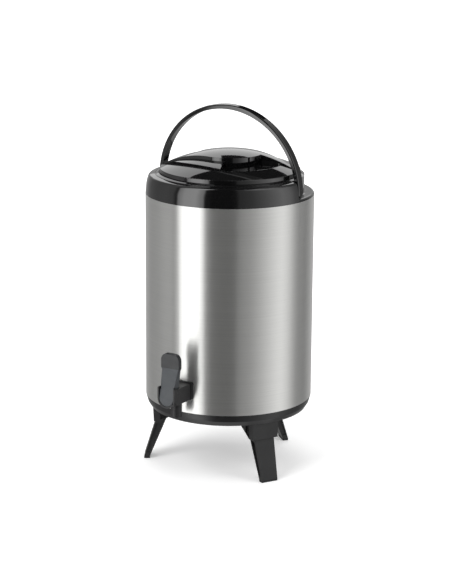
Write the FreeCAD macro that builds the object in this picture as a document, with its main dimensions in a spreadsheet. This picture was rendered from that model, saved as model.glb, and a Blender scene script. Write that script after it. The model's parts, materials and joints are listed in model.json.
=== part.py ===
import FreeCAD, Part
import math
import os

import Sketcher
from FreeCAD import Placement, Rotation, Vector

# Driving dimensions, in millimetres and degrees.
# Heights called "above shell foot" start at the lower edge of the steel shell.
# Heights called "above rim" start at the upper edge of the steel shell.
DIMENSIONS = (
    ("shell_radius", 133.0, "outside radius of the steel shell"),
    ("shell_height", 327.0, "height of the steel shell"),
    ("shell_wall", 0.8, "sheet thickness of the steel shell"),
    ("floor_to_shell", 112.0, "shell foot above the floor"),
    ("insulation_depth", 26.0, "shell surface to the inside of the inner vessel"),
    ("vessel_wall", 0.8, "sheet thickness of the inner vessel"),
    ("vessel_floor", 13.0, "vessel floor above shell foot"),
    ("vessel_corner", 7.0, "outer bend radius at the vessel floor"),
    ("vessel_flange", 9.0, "width of the vessel's turned out rim"),
    ("nest_gap", 0.2, "gap between curved faces of pieces that nest"),
    ("pin_clearance", 0.05, "radial clearance of a pin that turns"),
    ("moving_gap", 0.5, "gap beside a piece that moves"),
    ("base_drop", 18.7, "base cover underside below shell foot"),
    ("base_crease_drop", 10.8, "crease of the base cover below shell foot"),
    ("base_crease_inset", 3.0, "crease inside the shell radius"),
    ("base_edge_inset", 8.0, "lower edge inside the shell radius"),
    ("base_wall", 3.0, "wall of the base cover"),
    ("base_spigot", 8.0, "height of the base cover's spigot in the shell"),
    ("base_dish_radius", 58.0, "radius of the shallow dish under the base"),
    ("base_dish_depth", 2.0, "depth of the shallow dish under the base"),
    ("screw_shank", 1.6, "radius of a bracket screw"),
    ("screw_head", 3.6, "radius of a bracket screw head"),
    ("screw_head_height", 2.2, "height of a bracket screw head"),
    ("screw_grip", 11.0, "length of a bracket screw above the bracket plate"),
    ("screw_spread", 11.0, "bracket screw off the bracket's middle"),
    ("screw_inset", 34.0, "bracket screw inside the bracket face"),
    ("boss_radius", 4.6, "radius of a screw boss in the base cover"),
    ("collar_skirt", 12.0, "collar skirt below rim"),
    ("collar_wall", 3.0, "wall of the collar"),
    ("collar_height", 33.0, "top lip above rim"),
    ("collar_bend_foot", 12.0, "start of the collar's gentle bend above rim"),
    ("collar_bend_inset", 1.0, "start of the gentle bend inside the shell radius"),
    ("collar_bend", 54.0, "radius of the gentle bend"),
    ("collar_edge_foot", 26.8, "start of the collar's top edge above rim"),
    ("collar_edge_inset", 4.4, "start of the top edge inside the shell radius"),
    ("collar_edge", 5.0, "rounding of the top edge"),
    ("collar_edge_head", 29.8, "end of the collar's top edge above rim"),
    ("collar_cone_inset", 7.6, "end of the top edge inside the shell radius"),
    ("neck_inset", 16.0, "collar neck inside the shell radius"),
    ("neck_top", 31.0, "outer edge of the neck's top band above rim"),
    ("neck_groove", 0.8, "width of the groove round the neck band"),
    ("neck_band", 5.0, "width of the neck's top band round the lid"),
    ("lid_seat", 27.0, "floor of that recess above rim"),
    ("lid_ledge", 7.5, "width of the ledge that the lid rests on"),
    ("ledge_height", 4.0, "floor of the bail's rear recess above rim"),
    ("ledge_bend", 4.3, "outer rounding of the rear recess"),
    ("notch_margin", 6.0, "gap between bail arm and front end of its recess"),
    ("ramp_foot", 8.0, "lower face of a bayonet ramp above rim"),
    ("ramp_head", 14.0, "upper face of a bayonet ramp above rim"),
    ("ramp_width", 2.2, "how far a bayonet ramp stands into the throat"),
    ("ramp_start", 34.0, "first bayonet ramp, from the tap side"),
    ("ramp_span", 50.0, "angle of a bayonet ramp"),
    ("lug_span", 26.0, "angle of a bayonet lug"),
    ("lug_width", 2.6, "how far a bayonet lug stands off the plug"),
    ("lug_height", 6.5, "height of a bayonet lug"),
    ("lug_gap", 0.3, "gap between a turned lug and its ramp"),
    ("lug_place", 22.0, "gap between a ramp and the lug in the slot beside it, as an angle"),
    ("bayonet_count", 3.0, "number of ramps, and of lugs"),
    ("bail_inset", 4.5, "bail's arch inside the shell radius"),
    ("bail_thickness", 6.8, "radial thickness of the bail"),
    ("bail_width", 15.0, "width of the bail"),
    ("bail_edge", 2.4, "rounding of the bail's outer edges"),
    ("bail_lean", 3.4, "forward lean of the bail at its front stop"),
    ("pivot_height", 12.5, "bail pivot above rim"),
    ("pivot_pin", 3.0, "radius of a bail pivot pin"),
    ("pivot_boss", 6.5, "radius of the bail's pivot boss"),
    ("pivot_pin_bite", 4.0, "how far a pivot pin enters the bail"),
    ("pivot_head", 5.2, "radius of a pivot pin's head"),
    ("pivot_head_height", 2.4, "height of a pivot pin's head"),
    ("bail_boss_gap", 0.3, "gap between the bail's boss and the neck"),
    ("neck_seal", 1.5, "thickness of the seal between vessel rim and collar"),
    ("lid_gap", 1.2, "gap between the lid and the neck's band"),
    ("lid_wall", 2.5, "wall of the lid cover"),
    ("lid_side_top", 39.5, "top of the lid's side wall above rim"),
    ("lid_apex", 68.5, "top of the dome above rim"),
    ("lid_edge", 1.6, "rounding of the lid's edge"),
    ("lid_gasket", 2.5, "thickness of the lid gasket"),
    ("hub_radius", 49.5, "radius of the lid's raised hub"),
    ("grip_span", 35.0, "length of a finger pocket, from the hub outwards"),
    ("grip_start", 20.0, "front end of a finger pocket, from the tap side"),
    ("grip_end", 104.0, "rear end of a finger pocket, from the tap side"),
    ("grip_floor", 44.0, "floor of a finger pocket above rim"),
    ("grip_corner", 6.0, "corner radius of a finger pocket"),
    ("wing_drop", 6.5, "how far the lowered wings fall below the dome at its middle"),
    ("wing_start", -11.7, "where a wing's straight wall meets the hub"),
    ("plug_gap", 3.5, "gap between the lid's inner plug and the collar throat"),
    ("plug_depth", 14.0, "underside of the plug below rim"),
    ("plug_corner", 8.0, "bend radius at the plug's underside"),
    ("tap_height", 37.0, "tap axis above shell foot"),
    ("shank_radius", 10.0, "radius of the tap's threaded shank"),
    ("shank_bore", 7.5, "radius of the bore through the shank"),
    ("shank_hole_gap", 0.4, "gap round the shank in shell, foam and vessel"),
    ("tap_flange_margin", 1.5, "how far the tap's flange stands past the tap body"),
    ("tap_flange_corner", 3.0, "corner radius of the tap's flange"),
    ("tap_flange_height", 5.0, "thickness of the tap's flange and washer"),
    ("tap_washer", 2.0, "thickness of the tap's rubber washers"),
    ("tap_nut", 15.0, "radius of the tap nut over its wings"),
    ("tap_nut_height", 9.0, "height of the tap nut"),
    ("shank_past_nut", 3.0, "shank past its nut"),
    ("tap_half_width", 14.5, "half width of the tap body"),
    ("tap_top", 13.0, "top of the tap body above the tap axis"),
    ("tap_bottom", 12.5, "underside of the tap body below the tap axis"),
    ("tap_reach", 52.5, "front rim of the tap body off the shell"),
    ("tap_rim_depth", 8.0, "depth of the tap's front rim"),
    ("tap_rim_radius", 15.5, "outside radius of the front rim's round foot"),
    ("tap_rim_wall", 2.5, "wall of the tap's front rim"),
    ("tap_rim_centre", 1.5, "centre of the round foot below the tap axis"),
    ("tap_rim_top", 15.5, "top of the front rim above the tap axis"),
    ("lever_room_foot", 0.5, "extra floor thickness under the lever"),
    ("seat_place", 14.0, "valve seat off the shell"),
    ("chamber_radius", 10.0, "radius of the valve chamber"),
    ("chamber_end", 31.0, "front end of the valve chamber off the shell"),
    ("bonnet_height", 4.0, "thickness of the bonnet"),
    ("stem_radius", 2.2, "radius of the valve stem"),
    ("stem_clearance", 0.08, "radial clearance of the valve stem"),
    ("stem_head", 3.4, "radius of the stem's front head"),
    ("stem_head_height", 2.0, "thickness of the stem's front head"),
    ("stem_head_place", 1.8, "stem head in front of the lever pin"),
    ("plunger_radius", 8.8, "radius of the plunger and its seal"),
    ("plunger_height", 2.0, "thickness of the plunger"),
    ("valve_seal", 2.5, "thickness of the valve seal"),
    ("stem_seal_radius", 4.2, "outside radius of the stem seal"),
    ("stem_seal_height", 2.0, "thickness of the stem seal"),
    ("spring_wire", 0.9, "wire diameter of the return spring"),
    ("spring_radius", 5.6, "mean radius of the return spring"),
    ("spring_length", 5.5, "length of the return spring"),
    ("spout_place", 23.0, "spout axis off the shell"),
    ("spout_radius", 8.7, "outside radius of the spout"),
    ("spout_bore", 6.3, "bore radius of the spout"),
    ("spout_length", 37.0, "mouth of the spout below the tap axis"),
    ("lever_pivot_place", 43.0, "lever pin off the shell"),
    ("lever_pivot_height", 7.0, "lever pin above the tap axis"),
    ("lever_pin", 2.0, "radius of the lever pin"),
    ("lever_foot_radius", 12.4, "radius of the lever's round foot"),
    ("lever_neck_half", 14.3, "half width of the lever under its thumb pad"),
    ("pad_half", 16.0, "half width of the thumb pad"),
    ("pad_foot", 45.0, "foot of the thumb pad above the tap axis"),
    ("pad_head", 67.5, "top of the thumb pad above the tap axis"),
    ("pad_corner", 11.0, "corner radius of the thumb pad"),
    ("lever_front", 9.0, "lever's front face in front of its pin"),
    ("lever_skirt", 4.0, "thickness of the lever's lower plate"),
    ("lever_hub", 4.4, "hub of the lever below its pin"),
    ("lever_back", 9.5, "back of the thumb pad behind the pin"),
    ("lever_back_lean", 1.4, "step by which the lever's back leans"),
    ("lever_bend", 11.0, "height of the lever's bend above its pin"),
    ("lever_front_lean", 4.0, "lever's front at its bend, behind its lower face"),
    ("lever_knee", 10.0, "upper end of the lever's upright lower face below its pin"),
    ("lever_lip", 3.0, "depth of the lever's full width front lip"),
    ("pad_thickness", 7.8, "thickness of the thumb pad"),
    ("pad_round", 2.4, "rounding of the thumb pad's top"),
    ("pad_swell", 4.0, "height over which the lever widens to the pad"),
    ("fork_slot", 4.2, "half width of the slot round the stem head"),
    ("prong_front", -0.8, "front of the fork prongs from the lever pin"),
    ("prong_back", 3.5, "back of the fork prongs from the lever pin"),
    ("prong_width", 5.4, "width of one fork prong"),
    ("bracket_inset", 12.0, "front bracket faces inside the shell radius"),
    ("bracket_width", 46.0, "width of a leg bracket"),
    ("bracket_height", 27.3, "height of a leg bracket"),
    ("bracket_foot", 12.0, "length of the bracket's flat foot"),
    ("bracket_length", 59.0, "length of a bracket along the base"),
    ("bracket_draft", 1.4, "how far the face leans in at its foot"),
    ("bracket_wall", 3.2, "face and roof thickness of a bracket"),
    ("bracket_recess", 3.4, "depth of the recesses in a bracket's cheeks"),
    ("bracket_rib_place", 23.5, "front of the rib in a bracket's cheek, from its face"),
    ("bracket_rib", 7.5, "width of the rib in a bracket's cheek"),
    ("front_leg_angle", 60.0, "front legs from the tap side"),
    ("rear_bracket_inset", 8.4, "rear bracket face inside the shell radius"),
    ("rear_leg_angle", 10.4, "rear bracket off the middle of the back"),
    ("rear_leg_turn", 46.0, "rear bracket's outward direction from the right"),
    ("leg_pin_place", 15.5, "leg pin inside the bracket face"),
    ("leg_pin_drop", 17.3, "leg pin below the base underside"),
    ("leg_pin", 3.0, "radius of a leg pin"),
    ("leg_round", 7.8, "radius of the leg's head round its pin"),
    ("leg_splay", 19.6, "lean of a leg from upright"),
    ("leg_head_width", 35.0, "width of a leg at its head"),
    ("leg_foot_width", 28.0, "width of a leg at its foot"),
    ("leg_foot_out", 15.0, "leg's outer foot edge outside the bracket face"),
    ("leg_foot_thickness", 9.2, "thickness of a leg at its foot, level"),
    ("leg_groove", 1.4, "depth of the side groove at the foot"),
    ("leg_groove_margin", 2.0, "plain edge beside the side groove"),
    ("foot_pad", 3.5, "thickness of a foot pad"),
)

doc = FreeCAD.newDocument("beverage_dispenser")


class Size:
    """A driving or derived size: its expression in the document, and its number."""

    def __init__(self, text, number):
        self.text = text
        self.number = number

    def __add__(self, other):
        return Size(f"({self.text} + {text_of(other)})", self.number + number_of(other))

    def __radd__(self, other):
        return size_of(other) + self

    def __sub__(self, other):
        return Size(f"({self.text} - {text_of(other)})", self.number - number_of(other))

    def __rsub__(self, other):
        return size_of(other) - self

    def __mul__(self, other):
        return Size(f"({self.text} * {text_of(other)})", self.number * number_of(other))

    def __rmul__(self, other):
        return size_of(other) * self

    def __truediv__(self, other):
        return Size(f"({self.text} / {text_of(other)})", self.number / number_of(other))

    def __neg__(self):
        return Size(f"(0 - {self.text})", -self.number)


def number_of(size):
    return size.number if isinstance(size, Size) else float(size)


def text_of(size):
    return size.text if isinstance(size, Size) else repr(float(size))


def size_of(size):
    return size if isinstance(size, Size) else Size(text_of(size), number_of(size))


def cosine(angle):
    return Size(f"cos({text_of(angle)} * 1 deg)", math.cos(math.radians(number_of(angle))))


def sine(angle):
    return Size(f"sin({text_of(angle)} * 1 deg)", math.sin(math.radians(number_of(angle))))


def root(value):
    return Size(f"sqrt({text_of(value)})", math.sqrt(number_of(value)))


def arcsine(value):
    """The angle in degrees, as a plain number."""
    return Size(f"(asin({text_of(value)}) / 1 deg)", math.degrees(math.asin(number_of(value))))


def polar(radius, angle):
    """A point at this radius, its angle counted from the tap side towards the right."""
    return radius * sine(angle), -(radius * cosine(angle))


def beside(angle, reach, offset):
    """A point this far out along the angle's line, and this far off that line."""
    return (
        sine(angle) * reach + cosine(angle) * offset,
        sine(angle) * offset - cosine(angle) * reach,
    )


class Dimensions:
    """The sheet of driving dimensions, read by name."""

    def __init__(self, document, rows):
        self.sheet = document.addObject("Spreadsheet::Sheet", "dims")
        self.sizes = {}
        for row, (name, value, note) in enumerate(rows, start=1):
            self.sheet.set(f"A{row}", name)
            self.sheet.set(f"B{row}", str(value))
            self.sheet.set(f"C{row}", note)
            self.sheet.setAlias(f"B{row}", name)
            self.sizes[name] = Size(f"dims.{name}", float(value))
        document.recompute()

    def __getattr__(self, name):
        return self.sizes[name]


d = Dimensions(doc, DIMENSIONS)
pieces = []


def bind(item, path, size):
    """Sets a property, or ties it to the sheet."""
    if isinstance(size, Size):
        item.setExpression(path, size.text)
    elif "." not in path:
        setattr(item, path, size)
    else:
        item.setExpression(path, text_of(size))


def place(item, x=0.0, y=0.0, z=0.0, turn=None, axis=(0, 0, 1)):
    """Puts a finished piece in the part's frame."""
    degrees = number_of(turn) if turn is not None else 0.0
    spot = Vector(number_of(x), number_of(y), number_of(z))
    item.Placement = Placement(spot, Rotation(Vector(*axis), degrees))
    for letter, size in (("x", x), ("y", y), ("z", z)):
        bind(item, f"Placement.Base.{letter}", size_of(size))
    if turn is not None:
        bind(item, "Placement.Rotation.Angle", size_of(turn))


def keep(item, name):
    """Names a finished sub-part."""
    item.Label = name
    pieces.append(item)
    return item


class Outline:
    """A closed outline. A point is (x, y), or (x, y, radius) where an arc leads to it:
    a positive radius turns left on the way, a negative one turns right."""

    def __init__(self, *points):
        self.points = points

    def draw(self, sketch):
        shapes = []
        ends = []
        radii = []
        for number, point in enumerate(self.points):
            start = flat(self.points[number - 1])
            finish = flat(point)
            if len(point) == 2:
                shapes.append(Part.LineSegment(start, finish))
                ends.append((1, 2))
                radii.append(None)
            else:
                shapes.append(arc_between(start, finish, number_of(point[2])))
                ends.append((1, 2) if number_of(point[2]) > 0 else (2, 1))
                radii.append(point[2])
        first = sketch.GeometryCount
        sketch.addGeometry(shapes, False)
        rules = []
        ties = []
        for number, point in enumerate(self.points):
            here = first + number
            after = first + (number + 1) % len(self.points)
            start_of_next = ends[(number + 1) % len(self.points)][0]
            rules.append(Sketcher.Constraint("Coincident", here, ends[number][1], after, start_of_next))
            ties.append(None)
            for kind, size in (("DistanceX", point[0]), ("DistanceY", point[1])):
                rules.append(Sketcher.Constraint(kind, -1, 1, here, ends[number][1], number_of(size)))
                ties.append(size)
            if radii[number] is not None:
                bend = abs(number_of(radii[number]))
                rules.append(Sketcher.Constraint("Radius", here, bend))
                sign = 1.0 if number_of(radii[number]) > 0 else -1.0
                ties.append(radii[number] if sign > 0 else -radii[number])
        add_rules(sketch, rules, ties)


class Ring:
    """A circle in a sketch."""

    def __init__(self, x, y, radius):
        self.x = x
        self.y = y
        self.radius = radius

    def draw(self, sketch):
        centre = Vector(number_of(self.x), number_of(self.y), 0)
        shape = Part.Circle(centre, Vector(0, 0, 1), number_of(self.radius))
        here = sketch.addGeometry(shape, False)
        rules = [
            Sketcher.Constraint("DistanceX", -1, 1, here, 3, number_of(self.x)),
            Sketcher.Constraint("DistanceY", -1, 1, here, 3, number_of(self.y)),
            Sketcher.Constraint("Radius", here, number_of(self.radius)),
        ]
        add_rules(sketch, rules, [self.x, self.y, self.radius])


def flat(point):
    return Vector(number_of(point[0]), number_of(point[1]), 0)


def arc_between(start, finish, radius):
    chord = finish - start
    middle = (start + finish) * 0.5
    half = chord.Length / 2
    rise = math.sqrt(max(radius * radius - half * half, 0.0))
    left = Vector(-chord.y, chord.x, 0).normalize()
    centre = middle + left * (rise if radius > 0 else -rise)
    low, high = (start, finish) if radius > 0 else (finish, start)
    circle = Part.Circle(centre, Vector(0, 0, 1), abs(radius))
    angles = [math.atan2(point.y - centre.y, point.x - centre.x) for point in (low, high)]
    return Part.ArcOfCircle(circle, angles[0], angles[1])


def add_rules(sketch, rules, ties):
    first = sketch.ConstraintCount
    sketch.addConstraint(rules)
    for number, size in enumerate(ties):
        if isinstance(size, Size):
            sketch.setExpression(f"Constraints[{first + number}]", size.text)


def new_body(name):
    return doc.addObject("PartDesign::Body", name)


def sketch_on(body, plane, loops, away=None):
    """A sketch on one of the body's own planes, or this far along that plane's normal."""
    support = next(item for item in body.Origin.OriginFeatures if item.Role == plane)
    sketch = body.newObject("Sketcher::SketchObject", f"{body.Name}_outline")
    sketch.AttachmentSupport = [(support, "")]
    sketch.MapMode = "FlatFace"
    if away is not None:
        bind(sketch, "AttachmentOffset.Base.z", size_of(away))
    for loop in loops:
        loop.draw(sketch)
    return sketch


def extrude(body, plane, loops, length, away=None, cut=False, back=False, both=False):
    """Pads or pockets an outline. A pad goes along the plane's normal, and so does a cut;
    back turns either round, and both spreads it evenly."""
    sketch = sketch_on(body, plane, loops, away)
    feature = body.newObject("PartDesign::Pocket" if cut else "PartDesign::Pad", f"{body.Name}_step")
    feature.Profile = sketch
    bind(feature, "Length", size_of(length))
    feature.Reversed = (not back) if cut else back
    feature.SideType = "Symmetric" if both else "One side"
    return feature


def spin(body, loops, cut=False, angle=None, plane="XZ_Plane"):
    """Turns an outline of radius and height about the upright axis."""
    sketch = sketch_on(body, plane, loops)
    feature = body.newObject("PartDesign::Groove" if cut else "PartDesign::Revolution", f"{body.Name}_turn")
    feature.Profile = sketch
    feature.ReferenceAxis = (sketch, ["V_Axis"])
    if angle is None:
        feature.Angle = 360.0
    else:
        feature.Midplane = True
        bind(feature, "Angle", size_of(angle))
    return feature


def soften(body, feature, radius, chosen):
    """Rounds those edges of the latest feature that the test picks."""
    doc.recompute()
    names = [f"Edge{number}" for number, edge in enumerate(feature.Shape.Edges, start=1) if chosen(edge)]
    rounding = body.newObject("PartDesign::Fillet", f"{body.Name}_round")
    rounding.Base = (feature, names)
    bind(rounding, "Radius", size_of(radius))
    return rounding


def repeat(body, features, count):
    """Repeats features evenly about the upright axis."""
    pattern = body.newObject("PartDesign::PolarPattern", f"{body.Name}_repeat")
    pattern.Originals = features
    axis = next(item for item in body.Origin.OriginFeatures if item.Role == "Z_Axis")
    pattern.Axis = (axis, [""])
    pattern.Angle = 360.0
    bind(pattern, "Occurrences", count)
    body.Tip = pattern
    return pattern


def box_outline(left, low, right, high):
    return Outline((left, low), (right, low), (right, high), (left, high))


# Places worked out from the driving dimensions
rim_height = d.floor_to_shell + d.shell_height
tap_axis_height = d.floor_to_shell + d.tap_height
shell_inside = d.shell_radius - d.shell_wall
vessel_radius = d.shell_radius - d.insulation_depth
vessel_outside = vessel_radius + d.vessel_wall
collar_cone_radius = d.shell_radius - d.collar_cone_inset
neck_radius = d.shell_radius - d.neck_inset
bail_radius = d.shell_radius - d.bail_inset
lid_seat_radius = neck_radius - d.neck_band
throat_radius = lid_seat_radius - d.lid_ledge
lid_radius = lid_seat_radius - d.lid_gap
plug_radius = throat_radius - d.plug_gap
grip_radius = d.hub_radius + d.grip_span
bracket_radius = d.shell_radius - d.bracket_inset
rear_bracket_radius = d.shell_radius - d.rear_bracket_inset
base_underside = d.floor_to_shell - d.base_drop
rear_place_x = rear_bracket_radius * sine(d.rear_leg_angle)
rear_place_y = rear_bracket_radius * cosine(d.rear_leg_angle)
foot_reach_y = d.leg_foot_out * sine(d.rear_leg_turn) + d.leg_foot_width / 2 * cosine(d.rear_leg_turn)
front_reach = d.shell_radius + d.tap_reach
rear_reach = rear_place_y + foot_reach_y
axis_y = (front_reach - rear_reach) / 2


def make_outer_shell():
    body = new_body("outer_shell")
    extrude(body, "XY_Plane", [Ring(0, 0, d.shell_radius), Ring(0, 0, shell_inside)], d.shell_height)
    hole = Ring(0, d.tap_height, d.shank_radius + d.shank_hole_gap)
    extrude(body, "XZ_Plane", [hole], d.shell_radius + d.collar_skirt, cut=True)
    place(body, y=axis_y, z=d.floor_to_shell)
    keep(body, "outer_shell")


def make_inner_vessel():
    body = new_body("inner_vessel")
    bend = d.vessel_corner
    foot = d.vessel_floor - d.vessel_wall
    top = d.shell_height - d.collar_skirt - d.neck_seal
    flange = vessel_outside + d.vessel_flange
    inner_bend = bend - d.vessel_wall
    wall = Outline(
        (0.0, foot),
        (vessel_outside - bend, foot),
        (vessel_outside, foot + bend, bend),
        (vessel_outside, top - d.vessel_wall),
        (flange, top - d.vessel_wall),
        (flange, top),
        (vessel_radius, top),
        (vessel_radius, foot + bend),
        (vessel_outside - bend, d.vessel_floor, -inner_bend),
        (0.0, d.vessel_floor),
    )
    spin(body, [wall])
    hole = Ring(0, d.tap_height, d.shank_radius + d.shank_hole_gap)
    extrude(body, "XZ_Plane", [hole], d.shell_radius, cut=True)
    place(body, y=axis_y, z=d.floor_to_shell)
    keep(body, "inner_vessel")


def make_foam():
    body = new_body("foam_insulation")
    outer = shell_inside - d.nest_gap
    inner = vessel_outside + d.nest_gap
    foot_outer = outer - d.base_wall - d.nest_gap
    step = d.base_spigot + d.nest_gap
    under = d.vessel_floor - d.vessel_wall - d.nest_gap
    bend = d.vessel_corner + d.nest_gap
    top = d.shell_height - d.collar_skirt - d.neck_seal - d.vessel_wall - d.nest_gap
    block = Outline(
        (0.0, d.nest_gap),
        (foot_outer, d.nest_gap),
        (foot_outer, step),
        (outer, step),
        (outer, top),
        (inner, top),
        (inner, under + bend),
        (inner - bend, under, -bend),
        (0.0, under),
    )
    spin(body, [block])
    hole = Ring(0, d.tap_height, d.shank_radius + d.shank_hole_gap)
    extrude(body, "XZ_Plane", [hole], d.shell_radius, cut=True)
    place(body, y=axis_y, z=d.floor_to_shell)
    keep(body, "foam_insulation")


def leg_frames():
    """Each leg's name, the place of its bracket face, and the turn that points it outwards."""
    frames = []
    for name, angle in (("front_right", d.front_leg_angle), ("front_left", -d.front_leg_angle)):
        x, y = polar(bracket_radius, angle)
        frames.append((name, x, y, angle - 90.0))
    frames.append(("rear", rear_place_x, rear_place_y, d.rear_leg_turn))
    return frames


def bracket_screw_places():
    """Screw centres in the part's frame, seen from the vessel axis."""
    places = []
    for _, x, y, turn in leg_frames():
        for side in (-1.0, 1.0):
            across = d.screw_spread * side
            sx = x - d.screw_inset * cosine(turn) - across * sine(turn)
            sy = y - d.screw_inset * sine(turn) + across * cosine(turn)
            places.append((sx, sy))
    return places


def make_base_cover():
    body = new_body("base_cover")
    outer = d.shell_radius
    wall = d.base_wall
    spigot = shell_inside - d.nest_gap
    crease = outer - d.base_crease_inset
    edge = outer - d.base_edge_inset
    dish_edge = d.base_dish_radius + d.base_dish_depth
    floor = wall - d.base_drop
    cover = Outline(
        (0.0, d.base_dish_depth - d.base_drop),
        (d.base_dish_radius, d.base_dish_depth - d.base_drop),
        (dish_edge, -d.base_drop),
        (edge, -d.base_drop),
        (crease, -d.base_crease_drop),
        (outer, 0.0),
        (spigot, 0.0),
        (spigot, d.base_spigot),
        (spigot - wall, d.base_spigot),
        (spigot - wall, 0.0),
        (crease - wall, -d.base_crease_drop),
        (edge - wall, floor),
        (dish_edge, floor),
        (d.base_dish_radius, floor + d.base_dish_depth),
        (0.0, floor + d.base_dish_depth),
    )
    spin(body, [cover])
    shift = [(x, y) for x, y in bracket_screw_places()]
    bosses = [Ring(x, y, d.boss_radius) for x, y in shift]
    extrude(body, "XY_Plane", bosses, d.base_drop - wall, away=wall - d.base_drop)
    holes = [Ring(x, y, d.screw_shank) for x, y in shift]
    extrude(body, "XY_Plane", holes, d.base_drop * 2, away=-d.base_drop, cut=True, both=True)
    place(body, y=axis_y, z=d.floor_to_shell)
    keep(body, "base_cover")


def make_collar():
    body = new_body("collar")
    outer = d.shell_radius
    wall = d.collar_wall
    skirt = shell_inside - d.nest_gap
    neck = neck_radius
    groove = d.neck_groove
    lip = groove / 2
    slope = (d.neck_top - d.collar_edge_head) / (collar_cone_radius - neck)
    cone_top = d.neck_top - slope * groove
    section = Outline(
        (throat_radius, -d.collar_skirt),
        (skirt, -d.collar_skirt),
        (skirt, 0.0),
        (outer, 0.0),
        (outer - d.collar_bend_inset, d.collar_bend_foot),
        (outer - d.collar_edge_inset, d.collar_edge_foot, d.collar_bend),
        (collar_cone_radius, d.collar_edge_head, d.collar_edge),
        (neck + groove, cone_top),
        (neck + groove, cone_top - groove),
        (neck, cone_top - groove),
        (neck, d.neck_top),
        (lid_seat_radius + lip, d.collar_height),
        (lid_seat_radius, d.collar_height - lip),
        (lid_seat_radius, d.lid_seat),
        (throat_radius, d.lid_seat),
    )
    spin(body, [section])
    # Rear recess for the folded bail
    arm_room = d.bail_width / 2 + d.notch_margin
    bend = d.ledge_bend
    past = outer + wall
    clear = d.collar_height + wall
    rear_cut = Outline(
        (neck, d.ledge_height + wall),
        (neck + wall, d.ledge_height, wall),
        (outer - bend, d.ledge_height),
        (outer, d.ledge_height - bend, -bend),
        (past, d.ledge_height - bend),
        (past, clear),
        (neck, clear),
    )
    notch = arcsine(arm_room / bail_radius)
    spin(body, [rear_cut], cut=True, angle=180.0 + 2.0 * notch, plane="YZ_Plane")
    # Hollows that leave an even wall
    low = -d.collar_skirt - wall
    inside = throat_radius + wall
    spin(body, [box_outline(inside, low, skirt - wall, d.ledge_height - wall)], cut=True)
    spin(body, [box_outline(inside, low, neck - wall, d.lid_seat - wall)], cut=True)
    front_hollow = Outline(
        (-neck, low),
        (-neck, d.collar_edge_head - wall),
        (wall - collar_cone_radius, d.collar_edge_head - wall),
        (d.collar_edge_inset + wall - outer, d.collar_edge_foot - wall),
        (d.collar_bend_inset + wall - outer, d.collar_bend_foot),
        (wall - skirt, low),
    )
    end_wall = arcsine((arm_room + wall) / bail_radius)
    spin(body, [front_hollow], cut=True, angle=180.0 - 2.0 * end_wall, plane="YZ_Plane")
    # Blocks that hold the bail's pivot pins
    overlap = wall / 3
    block_width = d.pivot_boss * 2 + wall
    for back in (False, True):
        ends = (inside - overlap, neck - overlap)
        left, right = (-ends[1], -ends[0]) if back else ends
        block = box_outline(left, 0.0, right, d.lid_seat - overlap)
        extrude(body, "XZ_Plane", [block], block_width, both=True)
        bore = Ring(0, d.pivot_height, d.pivot_pin + d.pin_clearance)
        extrude(body, "YZ_Plane", [bore], outer, cut=True, back=back)
        seat = Ring(0, d.pivot_height, d.pivot_head + d.nest_gap)
        extrude(body, "YZ_Plane", [seat], neck - wall, cut=True, back=back)
    # Bayonet ramps in the throat
    ramp_outer = throat_radius + overlap
    ramp_inner = throat_radius - d.ramp_width
    ramp_end = d.ramp_start + d.ramp_span
    ramp = Outline(
        polar(ramp_outer, d.ramp_start),
        (*polar(ramp_outer, ramp_end), ramp_outer),
        polar(ramp_inner, ramp_end),
        (*polar(ramp_inner, d.ramp_start), -ramp_inner),
    )
    feature = extrude(body, "XY_Plane", [ramp], d.ramp_head - d.ramp_foot, away=d.ramp_foot)
    repeat(body, [feature], d.bayonet_count)
    place(body, y=axis_y, z=rim_height)
    keep(body, "collar")


def make_neck_seal():
    body = new_body("neck_seal")
    loops = [Ring(0, 0, vessel_outside + d.vessel_flange - d.collar_wall), Ring(0, 0, vessel_outside)]
    extrude(body, "XY_Plane", loops, d.neck_seal)
    place(body, y=axis_y, z=rim_height - d.collar_skirt - d.neck_seal)
    keep(body, "neck_seal")


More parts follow.
